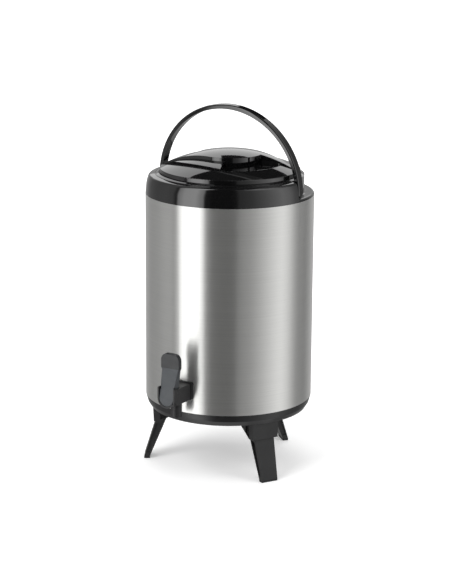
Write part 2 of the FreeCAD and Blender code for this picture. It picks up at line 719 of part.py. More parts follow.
def make_bail_handle():
    body = new_body("bail_handle")
    outer = bail_radius
    inner = outer - d.bail_thickness
    end = d.bail_width / 2
    arch = Outline(
        (outer, -end),
        (outer, 0.0),
        (0.0, outer, outer),
        (-outer, 0.0, outer),
        (-outer, -end),
        (-inner, -end),
        (-inner, 0.0),
        (0.0, inner, -inner),
        (inner, 0.0, -inner),
        (inner, -end),
    )
    extrude(body, "XZ_Plane", [arch], d.bail_width, both=True)
    spare = d.bail_edge
    ends = Outline(
        (-end - spare, 0.0),
        (-end - spare, -end - spare),
        (end + spare, -end - spare),
        (end + spare, 0.0),
        (end, 0.0),
        (0.0, -end, -end),
        (-end, 0.0, -end),
    )
    feature = extrude(body, "YZ_Plane", [ends], outer * 4, cut=True, both=True)

    def on_outer_face(edge):
        middle = edge.valueAt((edge.FirstParameter + edge.LastParameter) / 2)
        reach = abs(middle.x) if middle.z < 0.01 else math.hypot(middle.x, middle.z)
        across = edge.BoundBox.XLength < 0.01 or edge.BoundBox.YLength < 0.01
        return across and abs(reach - number_of(outer)) < 0.01 and edge.Length > 1.0 and abs(middle.y) > 0.1 \
            or abs(reach - number_of(outer)) < 0.01 and middle.z < -1.0

    soften(body, feature, d.bail_edge, on_outer_face)
    boss_end = neck_radius + d.bail_boss_gap
    for back in (False, True):
        away = -inner - 1.0 if back else boss_end
        boss = Ring(0, 0, d.pivot_boss)
        extrude(body, "YZ_Plane", [boss], inner + 1.0 - boss_end, away=away)
        bore = Ring(0, 0, d.pivot_pin + d.pin_clearance)
        depth = boss_end + d.pivot_pin_bite + d.nest_gap
        extrude(body, "YZ_Plane", [bore], depth, cut=True, back=back)
    place(body, y=axis_y, z=rim_height + d.pivot_height, turn=d.bail_lean, axis=(1, 0, 0))
    keep(body, "bail_handle")


def make_bail_pins():
    for name, turn in (("bail_pin_left", 180.0), ("bail_pin_right", 0.0)):
        body = new_body(name)
        seat = neck_radius - d.collar_wall
        head = Ring(0, 0, d.pivot_head)
        extrude(body, "YZ_Plane", [head], d.pivot_head_height, away=seat - d.pivot_head_height)
        shank = Ring(0, 0, d.pivot_pin)
        length = d.collar_wall + d.bail_boss_gap + d.pivot_pin_bite
        extrude(body, "YZ_Plane", [shank], length, away=seat)
        place(body, y=axis_y, z=rim_height + d.pivot_height, turn=turn)
        keep(body, name)


def dome_radius(reach, rise):
    """Radius of the arc that rises this much over this reach and ends level."""
    return (reach * reach + rise * rise) / (rise * 2)


def lid_form(name, inset):
    """The lid's outer form, or the hollow inside it when inset by the wall."""
    body = new_body(name)
    foot = d.lid_seat + d.lid_gasket
    side = lid_radius - inset
    edge = d.lid_edge
    corner = side - edge / 2
    shoulder = d.lid_side_top - inset
    top = d.lid_apex - inset
    low_top = top - d.wing_drop
    wing = Outline(
        (0.0, foot),
        (side, foot),
        (side, shoulder - edge),
        (corner, shoulder, edge),
        (0.0, low_top, dome_radius(corner, low_top - shoulder)),
    )
    spin(body, [wing])
    # Hub with two arms, stood up and then trimmed by the dome
    hub = d.hub_radius - inset
    tangent = d.wing_start + 180.0
    opening = tangent - d.grip_end
    root_reach = root(hub * hub - inset * inset)
    tip_reach = (hub - inset * sine(opening)) / cosine(opening)
    points = []
    for half in (0.0, 180.0):
        points.append((*beside(d.grip_end + half, root_reach, inset), hub))
        points.append(beside(d.grip_end + half, tip_reach, inset))
        points.append(polar(hub, tangent + half))
    extrude(body, "XY_Plane", [Outline(*points)], top + edge - foot, away=foot)
    past = lid_radius + d.lid_wall * 4
    trim = Outline(
        (0.0, top),
        (corner, shoulder, -dome_radius(corner, top - shoulder)),
        (side, shoulder - edge, -edge),
        (side, foot - edge),
        (past, foot - edge),
        (past, top + edge * 2),
        (0.0, top + edge * 2),
    )
    spin(body, [trim], cut=True)
    # Finger pockets
    near = hub
    far = grip_radius + inset
    far_reach = root(far * far - inset * inset)
    floor = d.grip_floor - inset
    pocket = Outline(
        beside(d.grip_start, far_reach, -inset),
        (*beside(d.grip_end, far_reach, inset), far),
        beside(d.grip_end, root_reach, inset),
        (*beside(d.grip_start, root_reach, -inset), -near),
    )
    feature = extrude(body, "XY_Plane", [pocket], top + edge - floor, away=floor, cut=True)
    pattern = repeat(body, [feature], 2)

    def pocket_corner(edge):
        box = edge.BoundBox
        upright = box.XLength < 0.01 and box.YLength < 0.01
        reach = math.hypot(box.Center.x, box.Center.y)
        return upright and abs(reach - number_of(far)) < 0.5

    soften(body, pattern, d.grip_corner + inset, pocket_corner)
    return body


def make_lid_cover():
    outside = lid_form("lid_outside", size_of(0.0))
    inside = lid_form("lid_hollow", d.lid_wall)
    cover = doc.addObject("Part::Cut", "lid_cover")
    cover.Base = outside
    cover.Tool = inside
    place(cover, y=axis_y, z=rim_height)
    keep(cover, "lid_cover")


def make_lid_plug():
    body = new_body("lid_plug")
    seat = d.lid_seat + d.lid_gasket
    wall = d.collar_wall
    outer = plug_radius
    bend = d.plug_corner
    flange = lid_radius - d.lid_wall - d.nest_gap
    under = -d.plug_depth
    cup = Outline(
        (0.0, under),
        (outer - bend, under),
        (outer, under + bend, bend),
        (outer, seat),
        (flange, seat),
        (flange, seat + d.lid_wall),
        (outer - wall, seat + d.lid_wall),
        (outer - wall, under + bend),
        (outer - bend, under + wall, wall - bend),
        (0.0, under + wall),
    )
    spin(body, [cup])
    lug_top = d.ramp_foot - d.lug_gap
    inner = outer - wall / 2
    reach = outer + d.lug_width
    first = d.ramp_start + d.ramp_span + d.lug_place
    last = first + d.lug_span
    lug = Outline(
        polar(reach, first),
        (*polar(reach, last), reach),
        polar(inner, last),
        (*polar(inner, first), -inner),
    )
    feature = extrude(body, "XY_Plane", [lug], d.lug_height, away=lug_top - d.lug_height)
    repeat(body, [feature], d.bayonet_count)
    place(body, y=axis_y, z=rim_height)
    keep(body, "lid_plug")


def make_lid_foam():
    body = new_body("lid_foam")
    radius = plug_radius - d.collar_wall - d.nest_gap
    foot = d.collar_wall + d.nest_gap - d.plug_depth
    bend = d.plug_corner - d.collar_wall
    top = d.grip_floor - d.lid_wall * 2
    block = Outline(
        (0.0, foot),
        (radius - bend, foot),
        (radius, foot + bend, bend),
        (radius, top),
        (0.0, top),
    )
    spin(body, [block])
    place(body, y=axis_y, z=rim_height)
    keep(body, "lid_foam")


def make_lid_gasket():
    body = new_body("lid_gasket")
    loops = [Ring(0, 0, lid_radius), Ring(0, 0, throat_radius + d.moving_gap)]
    extrude(body, "XY_Plane", loops, d.lid_gasket)
    place(body, y=axis_y, z=rim_height + d.lid_seat)
    keep(body, "lid_gasket")


def place_tap(item):
    place(item, y=axis_y - d.shell_radius, z=tap_axis_height)


def keep_tap(item, name):
    place_tap(item)
    keep(item, name)


wall_depth = d.shell_radius - vessel_radius
shank_length = wall_depth + d.tap_washer + d.tap_nut_height + d.shank_past_nut


def tap_foot():
    """Outline of the tap's flange and of the washer behind it."""
    corner = d.tap_flange_corner
    side = d.tap_half_width + d.tap_flange_margin
    low = -d.tap_bottom - d.tap_flange_margin
    high = d.tap_top + d.tap_flange_margin
    return Outline(
        (corner - side, low, corner),
        (side - corner, low),
        (side, low + corner, corner),
        (side, high - corner),
        (side - corner, high, corner),
        (corner - side, high),
        (-side, high - corner, corner),
        (-side, low + corner),
    )


def make_tap_body():
    body = new_body("tap_body")
    half = d.tap_half_width
    wall = d.tap_rim_wall
    seat = d.seat_place
    box_end = d.tap_reach - d.tap_rim_depth + wall / 2
    extrude(body, "XZ_Plane", [tap_foot()], d.tap_flange_height - d.tap_washer, away=d.tap_washer)
    box = box_outline(-half, -d.tap_bottom, half, d.tap_top)
    extrude(body, "XZ_Plane", [box], box_end - d.tap_washer, away=d.tap_washer)
    rim = d.tap_rim_radius
    centre = -d.tap_rim_centre
    outline = Outline(
        (0.0, centre - rim, rim),
        (rim, centre, rim),
        (rim, d.tap_rim_top),
        (-rim, d.tap_rim_top),
        (-rim, centre),
    )
    rim_foot = d.tap_reach - d.tap_rim_depth
    extrude(body, "XZ_Plane", [outline], d.tap_rim_depth, away=rim_foot)
    # Passages
    extrude(body, "XZ_Plane", [Ring(0, 0, d.shank_bore)], seat * 2, away=seat, cut=True, back=True)
    chamber = Ring(0, 0, d.chamber_radius)
    extrude(body, "XZ_Plane", [chamber], d.tap_reach, away=seat, cut=True)
    bore = Ring(0, -d.spout_place, d.spout_bore)
    extrude(body, "XY_Plane", [bore], d.spout_length, cut=True, back=True)
    # Recess for the lever
    room = half - wall
    recess = box_outline(-room, wall + d.lever_room_foot - d.tap_bottom, room, d.tap_rim_top + wall)
    extrude(body, "XZ_Plane", [recess], d.tap_reach, away=d.chamber_end, cut=True)
    inner = rim - wall
    mouth = Outline(
        (0.0, centre - inner, inner),
        (inner, centre, inner),
        (inner, d.tap_rim_top + wall),
        (-inner, d.tap_rim_top + wall),
        (-inner, centre),
    )
    extrude(body, "XZ_Plane", [mouth], d.tap_rim_depth, away=rim_foot + 1.0, cut=True)
    pin = Ring(-d.lever_pivot_place, d.lever_pivot_height, d.lever_pin + d.pin_clearance)
    extrude(body, "YZ_Plane", [pin], half * 4, cut=True, both=True)
    keep_tap(body, "tap_body")


def make_tap_tubes():
    """The threaded shank behind the tap body and the spout under it."""
    body = new_body("tap_shank")
    loops = [Ring(0, 0, d.shank_radius), Ring(0, 0, d.shank_bore)]
    extrude(body, "XZ_Plane", loops, shank_length + d.tap_washer, away=d.tap_washer, back=True)
    keep_tap(body, "tap_shank")
    body = new_body("tap_spout")
    loops = [Ring(0, -d.spout_place, d.spout_radius), Ring(0, -d.spout_place, d.spout_bore)]
    extrude(body, "XY_Plane", loops, d.spout_length - d.tap_bottom, away=-d.tap_bottom, back=True)
    keep_tap(body, "tap_spout")


def make_tap_washers():
    body = new_body("tap_outer_washer")
    hole = d.shank_radius + d.shank_hole_gap
    loops = [tap_foot(), Ring(0, 0, hole)]
    extrude(body, "XZ_Plane", loops, d.tap_washer * 2, away=-d.tap_washer)
    wall_face = Ring(0, d.shell_radius, d.shell_radius + d.nest_gap / 2)
    extrude(body, "XY_Plane", [wall_face], d.tap_half_width * 4, cut=True, both=True)
    keep_tap(body, "tap_outer_washer")
    body = new_body("tap_inner_washer")
    loops = [Ring(0, 0, d.tap_nut), Ring(0, 0, hole)]
    extrude(body, "XZ_Plane", loops, d.tap_washer * 2, away=-wall_depth - d.tap_washer)
    reach = d.shell_radius
    beyond = box_outline(-reach, -reach, reach, reach * 3)
    wall_face = Ring(0, reach, vessel_radius - d.nest_gap / 2)
    extrude(body, "XY_Plane", [beyond, wall_face], d.tap_nut * 4, cut=True, both=True)
    keep_tap(body, "tap_inner_washer")


def make_tap_nut():
    body = new_body("tap_nut")
    corners = [polar(d.tap_nut, 60.0 * number) for number in range(6)]
    loops = [Outline(*corners), Ring(0, 0, d.shank_radius + d.pin_clearance)]
    extrude(body, "XZ_Plane", loops, d.tap_nut_height, away=-wall_depth - d.tap_washer - d.tap_nut_height)
    keep_tap(body, "tap_nut")


def make_valve():
    stem_hole = d.stem_radius + d.stem_clearance
    bonnet_foot = d.chamber_end - d.bonnet_height
    body = new_body("tap_bonnet")
    loops = [Ring(0, 0, d.chamber_radius - d.pin_clearance), Ring(0, 0, stem_hole)]
    extrude(body, "XZ_Plane", loops, d.bonnet_height, away=bonnet_foot)
    recess = Ring(0, 0, d.stem_seal_radius)
    extrude(body, "XZ_Plane", [recess], d.stem_seal_height, away=bonnet_foot, cut=True)
    keep_tap(body, "tap_bonnet")
    body = new_body("stem_seal")
    loops = [Ring(0, 0, d.stem_seal_radius), Ring(0, 0, stem_hole)]
    extrude(body, "XZ_Plane", loops, d.stem_seal_height, away=bonnet_foot)
    keep_tap(body, "stem_seal")
    body = new_body("tap_stem")
    plunger_foot = d.seat_place + d.valve_seal
    extrude(body, "XZ_Plane", [Ring(0, 0, d.plunger_radius)], d.plunger_height, away=plunger_foot)
    head_foot = d.lever_pivot_place + d.stem_head_place
    extrude(body, "XZ_Plane", [Ring(0, 0, d.stem_radius)], head_foot - plunger_foot, away=plunger_foot)
    extrude(body, "XZ_Plane", [Ring(0, 0, d.stem_head)], d.stem_head_height, away=head_foot)
    keep_tap(body, "tap_stem")
    body = new_body("valve_seal")
    extrude(body, "XZ_Plane", [Ring(0, 0, d.plunger_radius)], d.valve_seal, away=d.seat_place)
    keep_tap(body, "valve_seal")
    body = new_body("tap_spring")
    wire = d.spring_wire / 2
    loops = [Ring(0, 0, d.spring_radius + wire), Ring(0, 0, d.spring_radius - wire)]
    extrude(body, "XZ_Plane", loops, d.spring_length, away=bonnet_foot - d.spring_length)
    keep_tap(body, "tap_spring")


def make_tap_lever():
    body = new_body("tap_lever")
    up = d.lever_pivot_height
    front = -d.lever_front
    skirt = front + d.lever_skirt
    foot = -d.lever_foot_radius - d.tap_rim_centre - up
    back = d.lever_back
    pad_top = d.pad_head - up
    pad_low = d.pad_foot - up - d.lever_skirt
    side = Outline(
        (front, foot),
        (skirt, foot),
        (skirt, -d.lever_hub),
        (d.lever_hub / 2, -d.lever_hub),
        (back - d.lever_back_lean * 2, 0.0),
        (back - d.lever_back_lean, d.lever_bend * 0.8),
        (back, pad_low),
        (back, pad_top - d.pad_round),
        (back - d.pad_round, pad_top, d.pad_round),
        (back - d.pad_thickness + d.pad_round, pad_top),
        (back - d.pad_thickness, pad_top - d.pad_round, d.pad_round),
        (back - d.pad_thickness, pad_low),
        (front + d.lever_front_lean, d.lever_bend),
        (front, -d.lever_knee),
    )
    extrude(body, "YZ_Plane", [side], d.pad_half * 2, both=True)
    radius = d.lever_foot_radius
    low = -d.tap_rim_centre - up
    neck = d.lever_neck_half
    half = d.pad_half
    swell = d.pad_foot - up
    corner = d.pad_corner
    front_view = Outline(
        (0.0, low - radius, radius),
        (radius, low, radius),
        (radius, d.lever_bend),
        (neck, swell - d.pad_swell),
        (half, swell),
        (half, pad_top - corner),
        (half - corner, pad_top, corner),
        (corner - half, pad_top),
        (-half, pad_top - corner, corner),
        (-half, swell),
        (-neck, swell - d.pad_swell),
        (-radius, d.lever_bend),
        (-radius, low),
    )
    reach = d.pad_half * 2
    frame = box_outline(-reach, foot - reach, reach, pad_top + reach)
    extrude(body, "XZ_Plane", [frame, front_view], reach * 4, cut=True, both=True)
    # Room beside the walls of the tap body, and round the stem
    narrow = d.tap_half_width - d.tap_rim_wall - d.moving_gap
    flank_front = front + d.lever_lip
    flank = box_outline(flank_front, foot - 1.0, back * 2, d.lever_bend - 1.0)
    for away, turned in ((narrow, False), (-narrow, True)):
        extrude(body, "YZ_Plane", [flank], reach, away=away, cut=True, back=turned)
    slot = box_outline(skirt, foot - 1.0, back * 2, d.lever_pin + 1.0)
    extrude(body, "YZ_Plane", [slot], d.fork_slot * 2, cut=True, both=True)
    prong_low = -up - d.stem_radius - d.moving_gap
    prong_high = -d.lever_pin - d.moving_gap
    prong = box_outline(d.prong_front, prong_low, d.prong_back, prong_high)
    inner = d.stem_radius + d.moving_gap
    for away, turned in ((inner, False), (-inner, True)):
        extrude(body, "YZ_Plane", [prong], d.prong_width, away=away, back=turned)
    hole = Ring(0, 0, d.lever_pin + d.pin_clearance)
    extrude(body, "YZ_Plane", [hole], reach * 2, cut=True, both=True)
    place(body, y=axis_y - d.shell_radius - d.lever_pivot_place, z=tap_axis_height + up)
    keep(body, "tap_lever")
    pin = new_body("tap_lever_pin")
    length = (d.tap_half_width - d.nest_gap) * 2
    extrude(pin, "YZ_Plane", [Ring(0, 0, d.lever_pin)], length, both=True)
    place(pin, y=axis_y - d.shell_radius - d.lever_pivot_place, z=tap_axis_height + up)
    keep(pin, "tap_lever_pin")


def make_bracket(name):
    body = new_body(name)
    wall = d.bracket_wall
    height = d.bracket_height
    length = d.bracket_length
    foot = d.bracket_foot
    tail = wall / 2
    side = Outline(
        (0.0, 0.0),
        (-length, 0.0),
        (tail - length, -tail),
        (-foot, -height),
        (-d.bracket_draft, -height),
    )
    extrude(body, "XZ_Plane", [side], d.bracket_width, both=True)
    room = d.leg_head_width + d.moving_gap * 2
    past = length + wall
    hollow = box_outline(-past, -height - wall, -wall, -wall)
    extrude(body, "XZ_Plane", [hollow], room, cut=True, both=True)
    # Recesses in the cheeks, on both sides of a rib
    slope = (height - tail) / (length - tail - foot)
    edge = wall * 0.8
    cheek = d.bracket_width / 2 - d.bracket_recess
    starts = (foot, d.bracket_rib_place + d.bracket_rib)
    ends = (d.bracket_rib_place, length - wall * 4)
    for start, end in zip(starts, ends):
        low_start = slope * (start - foot) + edge - height
        low_end = slope * (end - foot) + edge - height
        panel = Outline((-start, -edge), (-end, -edge), (-end, low_end), (-start, low_start))
        extrude(body, "XZ_Plane", [panel], height, away=cheek, cut=True)
        extrude(body, "XZ_Plane", [panel], height, away=-cheek, cut=True, back=True)
    pin = Ring(-d.leg_pin_place, -d.leg_pin_drop, d.leg_pin + d.pin_clearance)
    extrude(body, "XZ_Plane", [pin], d.bracket_width * 2, cut=True, both=True)
    holes = [Ring(-d.screw_inset, d.screw_spread * sign, d.screw_shank + d.nest_gap) for sign in (1.0, -1.0)]
    extrude(body, "XY_Plane", holes, wall * 4, cut=True, both=True)
    return body


def make_leg(name):
    body = new_body(name)
    splay = d.leg_splay
    round_head = d.leg_round
    pin_x = -d.leg_pin_place
    pin_z = -d.leg_pin_drop
    foot = base_underside - d.foot_pad
    across = (round_head * cosine(splay), round_head * sine(splay))
    toe = d.leg_foot_out
    heel = toe - d.leg_foot_thickness
    front = (pin_x + across[0], pin_z + across[1])
    top = (pin_x - across[1], pin_z + across[0])
    rear = (pin_x - across[0], pin_z - across[1])
    side = Outline(
        (heel, -foot),
        (toe, -foot),
        front,
        (*top, round_head),
        (*rear, round_head),
    )
    extrude(body, "XZ_Plane", [side], d.leg_head_width, both=True)
    head = d.leg_head_width / 2
    ankle = d.leg_foot_width / 2
    face = Outline(
        (-ankle, -foot),
        (ankle, -foot),
        (head, -d.bracket_height),
        (head, 0.0),
        (-head, 0.0),
        (-head, -d.bracket_height),
    )
    frame = box_outline(-head * 2, -foot - ankle, head * 2, ankle)
    extrude(body, "YZ_Plane", [frame, face], base_underside * 4, cut=True, both=True)
    # Long groove in each side of the leg
    margin = d.leg_groove_margin
    high = -d.bracket_height - margin * 2
    low = margin * 3 - foot
    lean_front = (toe - front[0]) / (front[1] + foot)
    lean_rear = (heel - rear[0]) / (rear[1] + foot)

    def front_at(z):
        return toe - lean_front * (z + foot) - margin

    def rear_at(z):
        return heel - lean_rear * (z + foot) + margin

    groove = Outline(
        (rear_at(low), low),
        (front_at(low), low),
        (front_at(high), high),
        (rear_at(high), high),
    )
    depth = ankle - d.leg_groove
    extrude(body, "XZ_Plane", [groove], head, away=depth, cut=True)
    extrude(body, "XZ_Plane", [groove], head, away=-depth, cut=True, back=True)
    hole = Ring(pin_x, pin_z, d.leg_pin + d.pin_clearance)
    extrude(body, "XZ_Plane", [hole], d.leg_head_width * 2, cut=True, both=True)
    return body


def make_leg_pin(name):
    body = new_body(name)
    pin = Ring(-d.leg_pin_place, -d.leg_pin_drop, d.leg_pin)
    extrude(body, "XZ_Plane", [pin], d.bracket_width - d.nest_gap * 2, both=True)
    return body


def make_foot_pad(name):
    body = new_body(name)
    toe = d.leg_foot_out
    half = d.leg_foot_width / 2
    sole = box_outline(toe - d.leg_foot_thickness, -half, toe, half)
    extrude(body, "XY_Plane", [sole], d.foot_pad, away=-base_underside)
    return body


def make_legs():
    makers = (("bracket", make_bracket), ("leg", make_leg), ("leg_pin", make_leg_pin), ("foot_pad", make_foot_pad))
    for leg, x, y, turn in leg_frames():
        for part, maker in makers:
            item = maker(f"{leg}_{part}")
            place(item, x=x, y=axis_y + y, z=base_underside, turn=turn)
            keep(item, f"{leg}_{part}")


def make_bracket_screws():
    screws = []
    for x, y in bracket_screw_places():
        solids = []
        for radius, height, foot in (
            (d.screw_head, d.screw_head_height, -d.bracket_wall - d.screw_head_height),
            (d.screw_shank, d.screw_grip + d.bracket_wall, -d.bracket_wall),
        ):
            solid = doc.addObject("Part::Cylinder", "screw_step")
            bind(solid, "Radius", radius)
            bind(solid, "Height", height)
            place(solid, x=x, y=y, z=foot)
            solids.append(solid)
        screw = doc.addObject("Part::MultiFuse", "screw")
        screw.Shapes = solids
        screws.append(screw)
    group = doc.addObject("Part::Compound", "bracket_screws")
    group.Links = screws
    place(group, y=axis_y, z=base_underside)
    keep(group, "bracket_screws")


def export_pieces():
    doc.recompute()
    for item in doc.Objects:
        if "Invalid" in item.State or "Error" in item.State:
            raise RuntimeError(f"{item.Name} did not rebuild: {item.State}")
    os.makedirs("parts", exist_ok=True)
    for item in pieces:
        if item.Shape.isNull() or not item.Shape.isValid():
            raise RuntimeError(f"{item.Label} has no valid shape")
        item.Shape.exportStep(os.path.join("parts", f"{item.Label}.step"))


make_outer_shell()
make_inner_vessel()
make_foam()
make_base_cover()
make_bracket_screws()
make_collar()
make_neck_seal()
make_bail_handle()
make_bail_pins()
make_lid_cover()
make_lid_plug()
make_lid_foam()
make_lid_gasket()
make_tap_body()
make_tap_tubes()
make_tap_washers()
make_tap_nut()
make_valve()
make_tap_lever()
make_legs()
export_pieces()
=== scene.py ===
import json
import math

import bpy
from mathutils import Matrix, Vector

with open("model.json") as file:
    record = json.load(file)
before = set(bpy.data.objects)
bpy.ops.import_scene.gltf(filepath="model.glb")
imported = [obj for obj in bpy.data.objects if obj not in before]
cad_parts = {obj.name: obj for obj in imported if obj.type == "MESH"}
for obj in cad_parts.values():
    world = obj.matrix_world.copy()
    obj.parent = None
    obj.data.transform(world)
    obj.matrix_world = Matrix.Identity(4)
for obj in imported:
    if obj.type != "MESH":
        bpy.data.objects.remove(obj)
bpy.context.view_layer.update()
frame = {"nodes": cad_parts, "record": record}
nodes = frame["nodes"]

# Places in metres, as the solids have them
AXIS_Y = 0.0212158
RIM = 0.439
SHELL_RADIUS = 0.133
PAD_FOOT = 0.193

# The camera: its turn from the tap's side towards +X, its distance from the shell's axis
# and its height above the rim, both in shell radii, and its small tilts
CAMERA_SIDE = math.radians(31.0)
CAMERA_DISTANCE = 21.68
CAMERA_HEIGHT = 4.286
CAMERA_PITCH = math.radians(14.25)
CAMERA_YAW = math.radians(-0.1)
CAMERA_ROLL = math.radians(0.39)
FOCAL_PIXELS = 1863.9
PICTURE_PIXELS = 584.0
SENSOR_WIDTH = 36.0

# Most of a noise texture's values lie between these
NOISE_LOW = 0.25
NOISE_HIGH = 0.75

# Radius in metres that catches the light along a moulded edge
MOULDED_EDGE = 0.0006

# Anisotropic rotation is counted in whole turns
QUARTER_TURN = 0.25


def rotated(angle):
    """Unit vectors away from the camera and to its right, level with the floor."""
    away = Vector((-math.sin(angle), math.cos(angle), 0.0))
    right = Vector((math.cos(angle), math.sin(angle), 0.0))
    return away, right


def make_camera():
    away, right = rotated(CAMERA_SIDE)
    level = away * math.cos(CAMERA_YAW) + right * math.sin(CAMERA_YAW)
    across = right * math.cos(CAMERA_YAW) - away * math.sin(CAMERA_YAW)
    ahead = level * math.cos(CAMERA_PITCH) - Vector((0.0, 0.0, math.sin(CAMERA_PITCH)))
    upward = across.cross(ahead)
    turned = across * math.cos(CAMERA_ROLL) + upward * math.sin(CAMERA_ROLL)
    tipped = upward * math.cos(CAMERA_ROLL) - across * math.sin(CAMERA_ROLL)
    data = bpy.data.cameras.new("camera")
    data.lens = FOCAL_PIXELS / PICTURE_PIXELS * SENSOR_WIDTH
    data.sensor_width = SENSOR_WIDTH
    camera = bpy.data.objects.new("camera", data)
    bpy.context.scene.collection.objects.link(camera)
    place = Matrix((turned, tipped, -ahead)).transposed().to_4x4()
    eye_level = Vector((0.0, AXIS_Y, RIM + CAMERA_HEIGHT * SHELL_RADIUS))
    place.translation = eye_level - away * CAMERA_DISTANCE * SHELL_RADIUS
    camera.matrix_world = place
    bpy.context.scene.camera = camera


class Graph:
    """The nodes of a material or a world, made and linked in short calls."""

    def __init__(self, owner):
        owner.use_nodes = True
        self.owner = owner
        self.nodes = owner.node_tree.nodes
        self.links = owner.node_tree.links

    def add(self, kind, **values):
        node = self.nodes.new(kind)
        for name, value in values.items():
            setattr(node, name, value)
        return node

    def feed(self, value, socket):
        """Link an output to the socket, or set the socket to a plain number."""
        if isinstance(value, float):
            socket.default_value = value
        else:
            self.links.new(value, socket)

    def calculate(self, operation, first, second):
        node = self.add("ShaderNodeMath", operation=operation)
        self.feed(first, node.inputs[0])
        self.feed(second, node.inputs[1])
        return node.outputs["Value"]

    def coordinates(self, scale=(1.0, 1.0, 1.0)):
        place = self.add("ShaderNodeTexCoord")
        mapping = self.add("ShaderNodeMapping")
        mapping.inputs["Scale"].default_value = scale
        self.feed(place.outputs["Object"], mapping.inputs["Vector"])
        return mapping.outputs["Vector"]

    def own_place(self):
        """The place in the object's own X, Y and Z, as three outputs."""
        place = self.add("ShaderNodeTexCoord")
        split = self.add("ShaderNodeSeparateXYZ")
        self.feed(place.outputs["Object"], split.inputs["Vector"])
        return split.outputs

    def noise(self, size, detail=3.0, scale=(1.0, 1.0, 1.0)):
        node = self.add("ShaderNodeTexNoise")
        node.inputs["Scale"].default_value = size
        node.inputs["Detail"].default_value = detail
        self.feed(self.coordinates(scale), node.inputs["Vector"])
        return node.outputs["Fac"]

    def remap(self, value, source, target):
        """Carry a value from one range, low and high, over to another."""
        node = self.add("ShaderNodeMapRange")
        node.inputs["From Min"].default_value, node.inputs["From Max"].default_value = source
        node.inputs["To Min"].default_value, node.inputs["To Max"].default_value = target
        self.feed(value, node.inputs["Value"])
        return node.outputs["Result"]

    def spread(self, noise, target):
        return self.remap(noise, (NOISE_LOW, NOISE_HIGH), target)

    def mixed(self, factor, first, second):
        node = self.add("ShaderNodeMix", data_type="RGBA")
        self.feed(factor, node.inputs["Factor"])
        self.feed(first, node.inputs["A"])
        self.feed(second, node.inputs["B"])
        return node.outputs["Result"]

    def tint(self, value, colour, darker, lighter):
        """The colour, from its darker to its lighter share as the value rises."""
        node = self.add("ShaderNodeMix", data_type="RGBA")
        node.inputs["A"].default_value = (*(channel * darker for channel in colour), 1.0)
        node.inputs["B"].default_value = (*(channel * lighter for channel in colour), 1.0)
        self.feed(value, node.inputs["Factor"])
        return node.outputs["Result"]

    def bump(self, height, strength, distance, normal=None):
        node = self.add("ShaderNodeBump")
        node.inputs["Strength"].default_value = strength
        node.inputs["Distance"].default_value = distance
        self.feed(height, node.inputs["Height"])
        if normal is not None:
            self.feed(normal, node.inputs["Normal"])
        return node.outputs["Normal"]

    def softened_edges(self, radius):
        node = self.add("ShaderNodeBevel", samples=6)
        node.inputs["Radius"].default_value = radius
        return node.outputs["Normal"]

    def shader(self):
        return self.nodes["Principled BSDF"]

    def finish(self, colour, roughness, normal, **plain):
        shader = self.shader()
        self.feed(colour, shader.inputs["Base Color"])
        self.feed(roughness, shader.inputs["Roughness"])
        self.feed(normal, shader.inputs["Normal"])
        for name, value in plain.items():
            shader.inputs[name.replace("_", " ")].default_value = value
        return self.owner

    def show(self, surface):
        """Use another shader than the principled one for the surface."""
        self.feed(surface, self.nodes["Material Output"].inputs["Surface"])
        return self.owner


def material_graph(name):
    return Graph(bpy.data.materials.new(name))


def plastic(name, colour, gloss, grain_size, grain_depth, specular, edge=MOULDED_EDGE):
    """Moulded plastic: fine grain, faint blotches, uneven gloss and softened edges."""
    graph = material_graph(name)
    blotch = graph.noise(14.0, detail=4.0)
    grain = graph.noise(grain_size, detail=2.0)
    tone = graph.tint(blotch, colour, darker=0.85, lighter=1.2)
    roughness = graph.spread(graph.noise(45.0, detail=5.0), gloss)
    normal = graph.bump(grain, strength=0.35, distance=grain_depth, normal=graph.softened_edges(edge))
    return graph.finish(tone, roughness, normal, Specular_IOR_Level=specular)


def steel(name, colour, hair, gloss, depth, smear=0.0, metallic=1.0):
    """Sheet steel with fine hairlines; hair is how far they are stretched along X, Y and Z.

    A smear above zero draws reflections out along Z, across hairlines that run round the shell.
    """
    graph = material_graph(name)
    lines = graph.noise(1.0, scale=hair)
    cloud = graph.noise(5.0, detail=4.0)
    tone = graph.tint(lines, colour, darker=0.92, lighter=1.08)
    roughness = graph.spread(lines, gloss)
    ripple = graph.bump(cloud, strength=0.05, distance=0.0004)
    normal = graph.bump(lines, strength=0.25, distance=depth, normal=ripple)
    if smear > 0.0:
        around = graph.add("ShaderNodeTangent", direction_type="RADIAL", axis="Z")
        graph.feed(around.outputs["Tangent"], graph.shader().inputs["Tangent"])
    return graph.finish(
        tone, roughness, normal, Metallic=metallic, Anisotropic=smear, Anisotropic_Rotation=QUARTER_TURN
    )


def lever_plastic(name, panel_tone_and_sheen, pad_tone_and_shade):
    """Grained plastic whose thumb pad is darker than the panel below it: partly their own colours, partly
    painted sheen on the panel and painted shade on the pad for their different tilts.
    """
    graph = material_graph(name)
    blotch = graph.noise(60.0, detail=4.0)
    # Lower tone: the panel's own colour with painted sheen; upper tone: the pad's own colour with painted
    # shade
    lower_tone_and_sheen = graph.tint(blotch, panel_tone_and_sheen, darker=0.85, lighter=1.2)
    upper_tone_and_shade = graph.tint(blotch, pad_tone_and_shade, darker=0.8, lighter=1.3)
    pad_shade_mask = graph.calculate("GREATER_THAN", graph.own_place()["Z"], PAD_FOOT)
    tone = graph.mixed(pad_shade_mask, lower_tone_and_sheen, upper_tone_and_shade)
    roughness = graph.spread(graph.noise(90.0, detail=4.0), (0.36, 0.5))
    edges = graph.softened_edges(MOULDED_EDGE)
    normal = graph.bump(graph.noise(1500.0, detail=2.0), strength=0.35, distance=0.0002, normal=edges)
    return graph.finish(tone, roughness, normal, Specular_IOR_Level=0.5)


